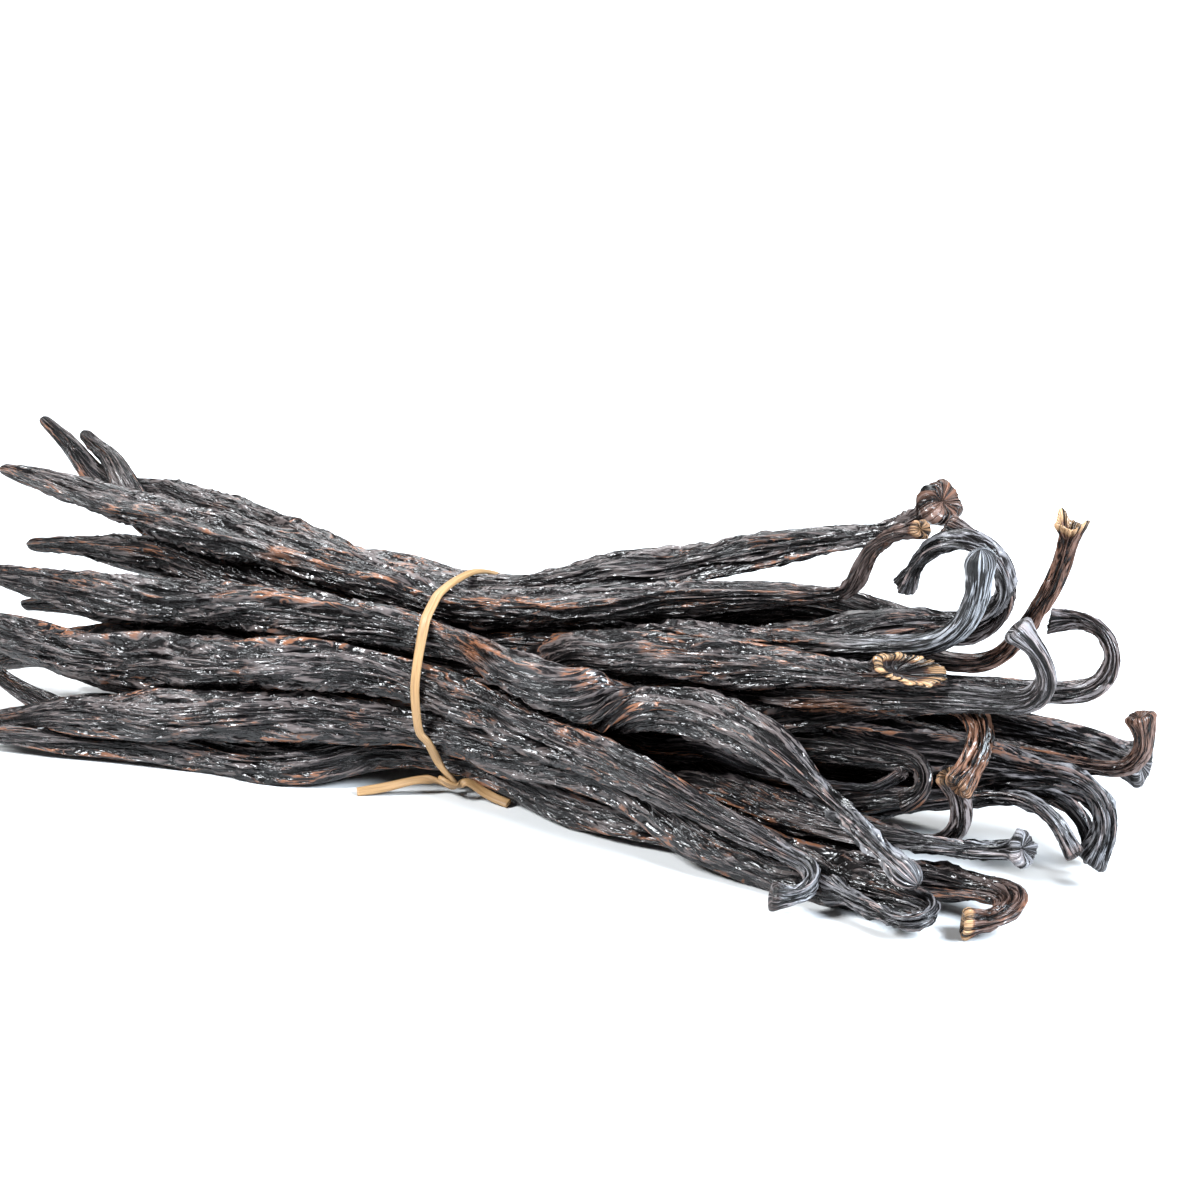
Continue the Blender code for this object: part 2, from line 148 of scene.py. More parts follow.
# %% [markdown]
# ## Centre lines
# A pod's line is one smooth curve through a handful of points, and then one or two curls at its stem.
# A natural cubic spline is the curve that a thin springy rod takes between pins, which is how a pod
# lies.  A curl turns its heading slowly, then fast, then slowly again, so it starts without a corner.

# %% Curves
KNOT_POWER = 0.75            # how much longer the spline's clock runs on a longer stretch
CURL_POINTS = 60


def run_along(line):
    """Return how far along the line each of its points is."""
    return np.append(0, np.cumsum(np.linalg.norm(np.diff(line, axis=0), axis=1)))


def spline_through(points, count):
    """Return count points on the natural cubic spline through points.

    Each stretch is a cubic whose bend runs straight from one given point's bend to the next; the bends
    come from asking for equal slopes where two stretches meet, and no bend at the two ends.
    """
    points = np.array(points, float)
    knots = np.append(0, np.cumsum(np.linalg.norm(np.diff(points, axis=0), axis=1) ** KNOT_POWER))
    gaps = np.diff(knots)
    slopes = np.diff(points, axis=0) / gaps[:, None]
    inner = np.arange(1, len(points) - 1)
    system = np.eye(len(points))
    system[inner, inner - 1] = gaps[:-1]
    system[inner, inner] = 2 * (gaps[:-1] + gaps[1:])
    system[inner, inner + 1] = gaps[1:]
    right = np.zeros_like(points)
    right[1:-1] = 6 * np.diff(slopes, axis=0)
    bend = np.linalg.solve(system, right)
    at = np.linspace(0, knots[-1], count)
    piece = np.clip(np.searchsorted(knots, at, side="right") - 1, 0, len(gaps) - 1)
    gap, after = gaps[piece][:, None], (at - knots[piece])[:, None]
    before = gap - after
    curved = (bend[piece] * (before ** 3 / gap - before * gap)
              + bend[piece + 1] * (after ** 3 / gap - after * gap)) / 6
    return (points[piece] * before + points[piece + 1] * after) / gap + curved


def curl_from(start, heading, length, turn, side):
    """Return the points of a curl and its last heading: the heading turns by a smooth step of turn."""
    up = np.array((0, 0, 1.0)) - heading * heading[2]
    up /= np.linalg.norm(up)
    front = np.cross(heading, up)
    inward = math.cos(math.radians(side)) * up + math.sin(math.radians(side)) * front
    share = np.linspace(0, 1, CURL_POINTS)[:, None]
    angle = math.radians(turn) * share ** 2 * (3 - 2 * share)
    headings = np.cos(angle) * heading + np.sin(angle) * inward
    return start + np.cumsum(headings, axis=0) * length / CURL_POINTS, headings[-1]


def spaced(line, spacing):
    """Return a line's points again, evenly spaced, and each one's share of the whole length."""
    run = run_along(line)
    at = np.linspace(0, run[-1], round(run[-1] / spacing) + 1)
    return np.stack([np.interp(at, run, axis) for axis in line.T], axis=1), at / run[-1]


# %% One pod's centre line and thickness
LINE_POINTS = 200            # on a line before it is spaced evenly
LINE_SPACING = 2.5           # mm


def centre_line(name):
    """Return a pod's points from blossom tip to stem end, their share of its length, and where it curls."""
    tip, before, (ring, angle), after, neck, curls, _ = PODS[name]
    angle = math.radians(angle)
    seat = (0, -ring * math.cos(angle), TIE_HEIGHT + ring * math.sin(angle))
    line = spline_through([tip, *before, seat, *after, neck], LINE_POINTS)
    heading = (line[-1] - line[-2]) / np.linalg.norm(line[-1] - line[-2])
    straight = run_along(line)[-1]
    for curl in curls:
        bent, heading = curl_from(line[-1], heading, *curl)
        line = np.vstack([line, bent])
    line, share = spaced(line, LINE_SPACING)
    whole = straight + sum(curl[0] for curl in curls)
    return line, share, straight / whole


def half_width(name, x, share):
    """Return half a pod's width: it grows from the tip, tapers to the neck, and is narrowed at x = 0."""
    width, neck, taper = PODS[name][6]
    length, curl = LENGTHS[name], LINES[name][2]
    grown = width * np.interp(share, TIP_AT, TIP_SHARE)
    done = (share - curl) * length / taper + 1
    fall = np.interp(done, TAPER_AT, TAPER_SHARE)
    waist = sum(deep * np.exp(-((x - at) / reach) ** 2) for at, reach, deep in WAISTS.get(name, ()))
    pinch = TIE_PINCH * np.exp(-(x / PINCH_REACH) ** 2)
    return (neck + (grown - neck) * fall) * (1 - waist) * (1 - pinch) / 2


LINES = {name: centre_line(name) for name in PODS}
LENGTHS = {name: (len(line) - 1) * LINE_SPACING for name, (line, _, _) in LINES.items()}
print("pods are", min(LENGTHS.values()), "to", max(LENGTHS.values()), "mm long")

# %% [markdown]
# ## Let the bundle settle
# Twenty-four soft pods squeezed into one loop push each other aside until each has its own room.  The
# same is done here: wherever two centre lines are closer than their pods' widths allow, both move apart,
# the inner pods more than the outer ones, while the strand and the table hold them back.  A rigid-body
# simulation could do it too, but pods are soft, and this way every pod keeps its own drawn curve.

# %% Push the centre lines apart
SQUEEZE = 0.84               # soft pods lie this share of their width apart
ROUNDS = 90
PUSH_SHARE = 0.6             # share of each push that is made in one round
PUSH_LIMIT = 2               # mm, the largest push
MOBILITY = {OUTER_RING: 0.25, MIDDLE_RING: 0.6, CORE_RING: 1.0}
CURL_MOBILITY = 0.04         # curled stems stand free and hardly move
SMOOTHING = 7                # a push spreads over this many points
OPENING = 7.0                # mm from the strand at which the pods may lie 1 mm further out
STRAND_PRESS = 0.9           # share of a pod's half width that stays between its line and the strand
TABLE_PRESS = 0.92           # the same between its line and the table
STRAND_HALF = 0.4            # half the strand's thickness


def settle(lines, rounds):
    """Return the pods' lines moved apart: each round pushes every close pair along the way between them."""
    names = list(lines)
    points = np.vstack([lines[name][0] for name in names])
    owner = np.repeat(np.arange(len(names)), [len(lines[name][0]) for name in names])
    radius = np.concatenate([half_width(name, lines[name][0][:, 0], lines[name][1]) for name in names])
    ease = np.concatenate([MOBILITY[PODS[name][2][0]]
                           * np.where(lines[name][1] < lines[name][2], 1, CURL_MOBILITY) for name in names])
    blocks = [np.flatnonzero(owner == k) for k in range(len(names))]
    window = np.hanning(SMOOTHING + 2)[1:-1]
    for _ in range(rounds):
        push = np.zeros_like(points)
        square = (points ** 2).sum(axis=1)
        distance = square[:, None] + square[None] - 2 * points @ points.T
        for k, block in enumerate(blocks):
            nearest = block[distance[:, block].argmin(axis=1)]
            apart = points - points[nearest]
            far = np.linalg.norm(apart, axis=1) + 1e-6
            lack = np.clip(SQUEEZE * (radius + radius[nearest]) - far, 0, PUSH_LIMIT) * (owner != k)
            push += (apart * (lack * ease / (ease + ease[nearest]) / far)[:, None])
        for block in blocks:
            padded = np.pad(push[block], ((SMOOTHING // 2,) * 2, (0, 0)), mode="edge")
            points[block] += PUSH_SHARE * np.stack([np.convolve(axis, window / window.sum(), "valid")
                                                    for axis in padded.T], axis=1)
        points[:, 2] = np.maximum(points[:, 2], TABLE_PRESS * FLATNESS * radius)
        off = points[:, 1:] - (0, TIE_HEIGHT)
        reach = np.linalg.norm(off, axis=1)
        room = TIE_RADIUS - STRAND_HALF - STRAND_PRESS * radius + (points[:, 0] / OPENING) ** 2
        points[:, 1:] = (0, TIE_HEIGHT) + off * np.minimum(1, room / np.maximum(reach, 1e-6))[:, None]
    worst = max(np.linalg.norm(points[block] - lines[name][0], axis=1).max()
                for name, block in zip(names, blocks))
    print("largest shift while settling:", round(worst, 1), "mm")
    return {name: (points[block], lines[name][1], lines[name][2]) for name, block in zip(names, blocks)}


SETTLED = settle(LINES, ROUNDS)

# %% [markdown]
# ## Uneven skin
# Nothing on a dried pod is regular, so every wrinkle starts from noise: a smooth random field that is the
# same on each run.  Gradient noise gives each corner of a grid a random direction, and blends the slopes
# of the eight corners round a point.  Sampled on (cos, sin, length) it closes without a seam round a pod.

# %% Gradient noise
GRID_KEYS = (73856093, 19349663, 83492791)   # large primes mix a corner's three numbers into one
SEED_STEP = 17.3             # how far apart the fields of two seeds are
NOISE_GAIN = 1.7             # brings the noise to about -1 to 1
RIDGE_SLOPE = 1.7            # how fast a crest falls off
DIRECTIONS = np.random.default_rng(7).normal(size=(512, 3))
DIRECTIONS /= np.linalg.norm(DIRECTIONS, axis=1)[:, None]


def noise(points, seed=0):
    """Return smooth noise, about -1 to 1: the blended dot products of corner directions and offsets."""
    points = points + SEED_STEP * seed
    cell = np.floor(points).astype(np.int64)
    local = points - cell
    fade = local ** 3 * (local * (local * 6 - 15) + 10)
    total = 0
    for corner in itertools.product((0, 1), repeat=3):
        key = ((cell + corner) * GRID_KEYS).sum(axis=-1)
        direction = DIRECTIONS[(key ^ (key >> 11)) % len(DIRECTIONS)]
        weight = np.where(corner, fade, 1 - fade).prod(axis=-1)
        total = total + weight * (direction * (local - corner)).sum(axis=-1)
    return NOISE_GAIN * total


def along(length, scale, seed):
    """Return noise that changes only along a pod, over about scale mm."""
    return noise(np.multiply.outer(length / scale, (1, 0, 0)), seed)


def ridges(points, seed):
    """Return sharp crests, 0 to 1: the noise's own zero lines, turned into ridge tops."""
    return 1 - np.minimum(1, RIDGE_SLOPE * np.abs(noise(points, seed)))


sample = noise(np.random.default_rng(1).uniform(0, 50, (20000, 3)))
print("noise runs from", sample.min().round(2), "to", sample.max().round(2))

# %% [markdown]
# ## The path of one pod
# A pod is a profile carried along a path.  The profile needs a sideways direction at each point of the
# path; it is carried from ring to ring and only loses what would lean along the path, so it never twists
# by itself.  The pod's own lazy twist is then added as a roll, which lets its flat side wander.

# %% Paths and frames
AROUND_PER_WIDTH = 12        # points round a pod for each mm of its width
RING_SPACING = 1.0           # mm between its rings
WANDER = 0.5                 # how far the line strays from the drawn curve
WANDER_LENGTH = 21           # mm over which it strays and comes back
ROLL = 0.5                   # radians of a pod's own lazy twist
ROLL_LENGTH = 34             # mm over which it turns and comes back
TWISTS = {"twisted": (36, 7, 180)}   # a half turn: x of its middle, reach, degrees


def carried_frames(line):
    """Return the tangent and a sideways direction at each point, carried along without twisting."""
    tangents = np.gradient(line, axis=0)
    tangents /= np.linalg.norm(tangents, axis=1)[:, None]
    sideways = np.zeros_like(line)
    direction = np.array((0, 0, 1.0))
    for i, tangent in enumerate(tangents):
        direction = direction - tangent * (direction @ tangent)
        direction /= np.linalg.norm(direction)
        sideways[i] = direction
    return tangents, sideways


def pod_path(name):
    """Return a pod's ring centres, share of its length, mm from its tip, tangents and ring directions."""
    seed = list(PODS).index(name)
    line, share = spaced(spline_through(SETTLED[name][0], 2 * LINE_POINTS), RING_SPACING)
    length = share * LENGTHS[name]
    stray = np.stack([along(length, WANDER_LENGTH, seed + shift) for shift in (100, 200, 300)], axis=1)
    line = line + WANDER * stray * np.sin(np.pi * share)[:, None]
    tangents, upward = carried_frames(line)
    sideways = np.cross(tangents, upward)
    roll = math.radians(90 - PODS[name][2][1]) + ROLL * along(length, ROLL_LENGTH, seed + 40)
    if name in TWISTS:
        middle, reach, turn = TWISTS[name]
        roll = roll + math.radians(turn) * (1 + np.tanh((line[:, 0] - middle) / reach)) / 2
    broad = sideways * np.cos(roll)[:, None] + upward * np.sin(roll)[:, None]
    thin = np.cross(tangents, broad)
    angles = angles_round(name)
    directions = (np.cos(angles)[None, :, None] * broad[:, None]
                  + np.sin(angles)[None, :, None] * thin[:, None])
    return line, share, length, tangents, directions


def angles_round(name):
    """Return the angles of the points round a pod: more for a wider one."""
    return np.linspace(0, 2 * math.pi, round(AROUND_PER_WIDTH * PODS[name][6][0]), endpoint=False)

# %% [markdown]
# ## Room between neighbours
# Where two pods press on each other, both go flat.  Two balls of different size meet in one plane, and
# the same plane between two centre lines shares out the space between two pods, so they touch and hardly
# cross.  The table does the same from below.

# %% The outline of a pod
FULLNESS = 1.12              # the folds cut inwards, so the outline starts this much larger
GAP = 0.12                   # between two skins that touch
SOFTNESS = 0.35              # how round the edge of a pressed flat is
LEAST = 0.25                 # no pod gets thinner than this share of its half width
NEAR = 1.6                   # neighbours count up to this many times their two half widths away
LOBES = 0.05                 # height of the three blunt lobes, as a share
SWELL = 0.08                 # how much the width varies along a pod, as a share


def soft_minimum(a, b):
    """Return the smaller of a and b, with the corner between them rounded."""
    mixed = np.clip(0.5 + 0.5 * (b - a) / SOFTNESS, 0, 1)
    return b + (a - b) * mixed - SOFTNESS * mixed * (1 - mixed)


def room_around(name, centres, radius, directions):
    """Return how far each direction reaches from its centre before it meets a neighbour or the table.

    For a neighbour at offset v with radius q, the shared plane is (v.v + r.r - q.q) / (2 v.d) away
    along direction d, where r is this pod's own radius.
    """
    room = np.full(directions.shape[:2], 99.0)
    for other, (line, share, _) in SETTLED.items():
        if other == name:
            continue
        beside = half_width(other, line[:, 0], share)
        offsets = line[None] - centres[:, None]
        nearest = np.linalg.norm(offsets, axis=2).argmin(axis=1)
        offset = offsets[np.arange(len(centres)), nearest]
        square = (offset ** 2).sum(axis=1)
        facing = np.maximum((directions * offset[:, None]).sum(axis=2), 1e-6)
        plane = (square + radius ** 2 - beside[nearest] ** 2)[:, None] / (2 * facing) - GAP / 2
        close = square < (NEAR * (radius + beside[nearest])) ** 2
        plane = np.maximum(plane, LEAST * radius[:, None])
        room = np.where(close[:, None], np.minimum(room, plane), room)
    down = np.maximum(-directions[:, :, 2], 1e-6)
    return np.minimum(room, np.maximum(centres[:, 2:], 0.05) / down)


def pod_outline(name, line, share, length, directions):
    """Return a pod's half width along it, and its smooth radius at every point.

    Radius = oval in polar form, times three blunt lobes, limited by the room there is.
    """
    seed = list(PODS).index(name)
    angles = angles_round(name)
    half = half_width(name, line[:, 0], share) * (1 + SWELL * along(length, 13, seed + 60))
    _, flare, reach, _, _ = END_SHAPES[ENDS.get(name, PLAIN_END)[0]]
    half = half * (1 + (flare - 1) * np.clip(1 - (length[-1] - length) / reach, 0, 1) ** 2)
    flat = (FLATNESS - 0.06 + 0.1 * along(length, 24, seed + 80))[:, None]
    oval = half[:, None] * flat / np.hypot(flat * np.cos(angles), np.sin(angles))
    turn = 2 * along(length, 48, seed + 90)[:, None]
    lobes = FULLNESS + LOBES * np.cos(3 * angles + turn)
    return half, soft_minimum(oval * lobes, room_around(name, line, half, directions))


# %% [markdown]
# ## Stem ends
# No two stems are broken off alike: some are cut flat, some are hollow, forked or torn, some end in a bell.
# One short list of rings closes each kind: how far every ring goes on, and how wide it is.

# %% Stem ends
# (advance, share of the end's radius) of the rings that close an end
TIP = [(0.30, 0.92), (0.62, 0.72), (0.85, 0.42), (0.93, 0.12)]
BLUNT = [(0.12, 0.99), (0.26, 0.92), (0.32, 0.78), (0.26, 0.58), (0.16, 0.36), (0.10, 0.10)]
ROUND = [(0.30, 0.97), (0.60, 0.82), (0.82, 0.58), (0.93, 0.30), (0.96, 0.08)]
HOLLOW = [(0.16, 1.04), (0.24, 1.02), (0.22, 0.90), (0.05, 0.76), (-0.30, 0.60), (-0.60, 0.40), (-0.7, 0.1)]
KNOB = [(0.18, 1.16), (0.40, 1.22), (0.62, 1.12), (0.76, 0.92), (0.74, 0.70), (0.66, 0.45), (0.6, 0.15)]
# cap; how much the end widens, over how many mm; length of two prongs; slant of the cut for each radius
END_SHAPES = {
    "cut": (BLUNT, 1.06, 2.5, 0.0, 0.3), "rounded": (ROUND, 1.12, 4.0, 0.0, 0.0),
    "bell": (BLUNT, 1.42, 5.0, 0.0, 0.2), "disc": (BLUNT, 1.65, 2.4, 0.0, 0.1),
    "knob": (KNOB, 1.7, 2.8, 0.5, 0.3), "forked": (HOLLOW, 1.5, 3.5, 1.8, 0.2),
    "torn": (HOLLOW, 1.35, 6.0, 0.0, 1.6), "pipe": (HOLLOW, 1.12, 3.0, 0.0, 0.5),
    "bulb": (BLUNT, 1.5, 5.5, 0.0, 0.0),
}
# stem end of each pod: its shape, share of grey bloom on the curl (partly a painted highlight on its
# crests), share of tan on the cut and on the curl
ENDS = {
    "top_front": ("cut", 0.1, 0.7, 0.2), "top_back": ("knob", 0.1, 0.3, 0.12),
    "smooth_end": ("rounded", 1.3, 0.0, 0.0), "tall_arc": ("cut", 0.25, 0.3, 0.15),
    "inner_arc": ("pipe", 0.5, 0.1, 0.08), "upright": ("forked", 0.3, 1.0, 0.4),
    "c_loop": ("pipe", 0.7, 0.2, 0.2), "front_hook": ("bulb", 0.8, 0.1, 0.15),
    "flared_end": ("torn", 0.1, 1.0, 0.1), "twisted": ("rounded", 0.5, 0.0, 0.0),
    "big_front": ("bell", 0.7, 0.2, 0.05), "low_hook": ("forked", 0.4, 0.1, 0.0),
    "low_end": ("cut", 0.1, 1.0, 0.25), "tan_curl": ("cut", 0.3, 0.6, 0.5),
    "short_stub": ("bell", 0.5, 0.7, 0.2), "flare": ("disc", 0.8, 0.1, 0.0),
    "back_hook": ("bell", 0.3, 0.4, 0.35), "far_back": ("bell", 0.6, 0.1, 0.0),
    "wide_low": ("cut", 0.6, 0.1, 0.0), "dark_loop": ("cut", 0.0, 0.1, 0.0),
}
PLAIN_END = ("cut", 0.4, 0.2, 0.05)
# small tan scars and one split that shows orange fibres: place, reach in mm, strength
MARKS = {
    "front_hook": [((69, -12.7, 26.4), 2.2, 0.6), ((74, -12.7, 27.4), 2.0, 0.6)],
    "twisted": [((10.3, -16, 28.3), 2.5, 0.5)],
    "top_front": [((-30.4, -8.7, 35.5), 2.0, 0.45)],
}

# %% [markdown]
# ## Wrinkles
# As a pod dries, its skin shrinks onto the fibres inside and folds along the pod.  Ridged noise, drawn
# out along the pod, gives the long crests that fork and run together.  Its scale is measured round the
# pod's angle, so the same folds crowd together on the thin neck, as they do on the real one.  Wrinkles
# only cut inwards, so no pod grows into its neighbour.

# %% Folds of the skin
# width round the pod, reach along it (mm at 4 mm radius), depth as a share of half the width, seed
FOLD_SIZES = [(2.5, 24, 0.18, 5), (1.2, 15, 0.20, 9), (0.72, 9, 0.17, 21)]
RIDGE_POWER = 1.9            # how sharp the crests are
SKIN_RADIUS = 4              # mm, the radius that the folds' sizes are given for
DRIFT = 0.3                  # radians that the folds wander round the pod
SEAM_WIDTH = 0.16            # radians
SEAM_HEIGHT = 0.10           # share of half the width
CURL_FOLDS = 0.9             # how much deeper the folds are on a dry, curled stem
PLUMP = {"smooth_end": -0.4, "front_hook": -0.2}   # the same for two stems that stayed plump


def folds(name, share, length, half):
    """Return the depth of the folds in mm, how near each point is to a crest, and to a seam.

    The points' angles first drift by slow noise, so the folds wander; the two seams of the pod run along
    its sharp sides and stand proud of the folds.
    """
    seed = list(PODS).index(name)
    angles = angles_round(name)
    grid = len(length), len(angles)
    run = np.broadcast_to(length[:, None], grid)
    skin = np.stack([np.broadcast_to(SKIN_RADIUS * np.cos(angles), grid),
                     np.broadcast_to(SKIN_RADIUS * np.sin(angles), grid), run], axis=2)
    drift = DRIFT * noise(skin / (7, 7, 17), seed + 3)
    drifted = angles + drift
    turned = np.stack([SKIN_RADIUS * np.cos(drifted), SKIN_RADIUS * np.sin(drifted), run], axis=2)
    strength = np.clip(0.85 + 0.5 * noise(skin / (5, 5, 18), seed + 11), 0.3, 1.3)
    curled = np.clip((share - LINES[name][2] + 0.06) / 0.08, 0, 1)[:, None]
    depth = 0
    crest = 0
    for width, reach, deep, shift in FOLD_SIZES:
        ridge = ridges(turned / (width, width, reach), seed + shift) ** RIDGE_POWER
        deeper = 1 + PLUMP.get(name, CURL_FOLDS) * curled
        depth = depth + deep * half[:, None] * strength * deeper * (1 - ridge)
        crest = crest + ridge / len(FOLD_SIZES)
    off_seam = drifted % math.pi
    seam = np.exp(-(np.minimum(off_seam, math.pi - off_seam) / SEAM_WIDTH) ** 2)
    depth = np.maximum(depth * (1 - 0.6 * seam) - SEAM_HEIGHT * half[:, None] * seam, 0)
    return depth, crest, seam, skin


# %% A mesh from a grid of rings
def closed_tube(name, rings, attributes):
    """Return a mesh object from rings of points (rows x around x 3), closed by a point at each end.

    attributes are arrays with a value, or a vector, for every point of the rings.
    """
    rows, around = rings.shape[:2]
    points = np.vstack([rings.reshape(-1, 3), rings[0].mean(axis=0), rings[-1].mean(axis=0)])
    corner = np.arange(rows * around).reshape(rows, around)
    beside = np.roll(corner, -1, axis=1)
    quads = np.stack([corner[:-1], beside[:-1], beside[1:], corner[1:]], axis=2).reshape(-1, 4)
    first = np.stack([beside[0], corner[0], np.full(around, rows * around)], axis=1)
    last = np.stack([corner[-1], beside[-1], np.full(around, rows * around + 1)], axis=1)
    mesh = bpy.data.meshes.new(name)
    mesh.from_pydata((points + ORIGIN_SHIFT) * MM, [], quads.tolist() + first.tolist() + last.tolist())
    for key, values in attributes.items():
        values = np.concatenate([values.reshape(rows * around, -1), values[0, :1].reshape(1, -1),
                                 values[-1, :1].reshape(1, -1)])
        kind, field = ("FLOAT_VECTOR", "vector") if values.shape[1] == 3 else ("FLOAT", "value")
        mesh.attributes.new(key, kind, "POINT").data.foreach_set(field, values.astype(np.float32).ravel())
    lay_out(mesh, rows, around)
    mesh.shade_smooth()
    made = bpy.data.objects.new(name, mesh)
    bpy.context.scene.collection.objects.link(made)
    return made


def lay_out(mesh, rows, around, strips=3):
    """Give the tube a flat layout: the length is cut into strips, each as wide as the way round."""
    row = np.arange(rows - 1)
    strip = row * strips // (rows - 1)
    start = np.array([(strip < k).sum() for k in range(strips)])
    span = np.array([(strip == k).sum() for k in range(strips)])
    u = np.stack([(row - start[strip]) / span[strip], (row + 1 - start[strip]) / span[strip]], axis=1)
    v = np.stack([np.arange(around), np.arange(around) + 1], axis=1) / around
    u = 0.01 + 0.98 * u
    v = (strip[:, None, None] + 0.01 + 0.98 * v[None]) / strips
    sides = np.zeros((rows - 1, around, 4, 2))
    sides[..., 0] = u[:, None, (0, 0, 1, 1)]
    sides[..., 1] = v[:, :, (0, 1, 1, 0)]
    caps = np.zeros((2, around, 3, 2))
    caps[0, :, :, 0] = (0.01, 0.01, 0.005)
    caps[1, :, :, 0] = (0.99, 0.99, 0.995)
    caps[0, :, :, 1] = v[0][:, (1, 0, 0)]
    caps[1, :, :, 1] = v[-1][:, (0, 1, 0)]
    layer = mesh.uv_layers.new(name="OFBake")
    layer.data.foreach_set("uv", np.concatenate([sides.ravel(), caps.ravel()]))


# %% One pod, with its ends
RIM = 3                      # mm before the end over which the folds fade
RIM_FADE = 0.6               # by this share
CUT_RIM = 1.2                # mm of skin that take the colour of the cut
CUT_FACING = (0.2, -0.5, 0.85)   # a slanted cut looks up and forwards


def pod_object(name):
    """Return one pod's mesh object: folded body rings, then the rings that close the two ends."""
    line, share, length, tangents, directions = pod_path(name)
    half, radius = pod_outline(name, line, share, length, directions)
    depth, crest, seam, skin = folds(name, share, length, half)
    from_end = length[-1] - length
    at_rim = np.clip(1 - from_end / RIM, 0, 1)[:, None]
    radius = np.maximum(radius - depth * (1 - RIM_FADE * at_rim), LEAST * half[:, None])
    shape, grey, tan, warm = ENDS.get(name, PLAIN_END)
    cap, _, _, prong, slant = END_SHAPES[shape]
    angles = angles_round(name)
    facing = (directions[-1] * CUT_FACING).sum(axis=1)
    shift = prong * np.maximum(np.cos(2 * angles), 0) ** 2 - slant * half[-1] * facing
    drawn = np.clip(1 - from_end / (RIM + 2.5 * slant * half[-1]), 0, 1) ** 2
    outside = line[:, None] + radius[:, :, None] * directions
    body = outside + (drawn[:, None] * shift)[:, :, None] * tangents[:, None]

    def end_rings(row, profile, outward, shift):
        """Return rings on from one end: each moves along the tangent and takes a share of the radius."""
        advance, narrowing = np.array(profile).T[:, :, None]
        push = outward * half[row] * advance + narrowing * shift
        return (line[row] + push[:, :, None] * tangents[row]
                + narrowing[:, :, None] * radius[row, :, None] * directions[row])

    rings = np.concatenate([end_rings(0, TIP, -1, 0 * angles)[::-1], body, end_rings(-1, cap, 1, shift)])
    before, after = len(TIP), len(cap)

    def over_ends(values):
        """Return the values of the body's points, repeated over the end rings."""
        return np.concatenate([np.repeat(values[:1], before, axis=0), values,
                               np.repeat(values[-1:], after, axis=0)])

    curled = np.clip((share - LINES[name][2] + 0.05) / 0.1, 0, 1)
    rim = np.clip(1 - from_end / CUT_RIM, 0, 1)
    cut = np.concatenate([np.zeros(before), rim, np.array(cap)[:, 0] > 0]) * tan
    cut = np.maximum(cut, warm * over_ends(curled))
    cut = np.repeat(cut[:, None], len(angles), axis=1)
    for place, reach, strength in MARKS.get(name, ()):
        away = ((outside - place) / (reach * np.array((2, 1, 1)))) ** 2
        cut = np.maximum(cut, strength * over_ends(np.exp(-away.sum(axis=2))))
    # grey bloom on the curls: partly the dry stems' own grey, partly a painted highlight
    bloom_and_highlight = np.repeat((over_ends(curled) * grey)[:, None], len(angles), axis=1)
    attributes = {"crest": over_ends(crest), "seam": over_ends(seam), "skin": over_ends(skin),
                  "cut": cut, "bloom_and_highlight": bloom_and_highlight}
    return closed_tube(name, rings, attributes)


# %% [markdown]
# ## The core of painted shade
# Deep between the pods no light comes back.  A dark spindle in the middle is painted shade: it closes the
# few gaps that would let the table shine through, and a little of it shows in them as shade, mostly from
# the bundle's ends.  It runs right through the innermost pods, which stay whole.

# %% The core of painted shade
CORE_ENDS = (-62, 62)        # x of its two ends
CORE_SHARE = 1.0             # its half size, in standard deviations of the pods' places


def shade_core_object():
    """Return a dark spindle of painted shade about the pods' mean place, as wide as the places' spread."""
    x = np.arange(*CORE_ENDS, 2.0)
    straight = [line[share < curl] for line, share, curl in SETTLED.values()]
    places = np.array([[np.interp(x, line[:, 0], line[:, k]) for k in (1, 2)] for line in straight])
    middle, spread = places.mean(axis=0), CORE_SHARE * places.std(axis=0)
    spread = spread * np.sqrt(np.sin(np.pi * np.linspace(0.02, 0.98, len(x))))
    angles = np.linspace(0, 2 * math.pi, 24, endpoint=False)
    oval = np.stack([np.cos(angles), np.sin(angles)])
    ring = middle[:, :, None] + spread[:, :, None] * oval[:, None]
    rings = np.stack([np.broadcast_to(x[:, None], ring.shape[1:]), *ring], axis=2)
    return closed_tube("core", rings, {})


# %% [markdown]
# ## The strand of raffia
# Raffia is a strip of dried palm leaf.  This one is a single piece: it comes in as the left tail, crosses
# over itself, goes once round the bundle, crosses back and leaves as the right tail.  Pulled tight, it
# takes the shape of a rubber band round the pods.  That shape has a handy formula: if h(a) is how far
# the pods reach in direction a, the band's point that faces a is h d + h' n, where d is that direction
# and n is the direction a quarter turn further on.

# %% The strand
STRAND_WIDTH = 1.7
STRAND_THICKNESS = 0.8
KNOT_ANGLE = -52             # degrees round the loop, 0 in front and 90 on top
KNOT_PULL = 3.4              # how far the knot is drawn towards the stems
KNOT_PULL_REACH = 35         # degrees
ANGLE_STEP = 3
KNOT_GAP = 15                # degrees on either side that the knot takes up
BAND_SOFTNESS = 7            # steps over which the strand rounds a corner
BAND_STEP = 9                # degrees between the points of the band that the line goes through
STRAND_SPACING = 0.3         # mm between the strand's rings
STRAND_AROUND = 32           # points round it
KNOT_REACH = 3               # mm round the knot where the strand is drawn narrow
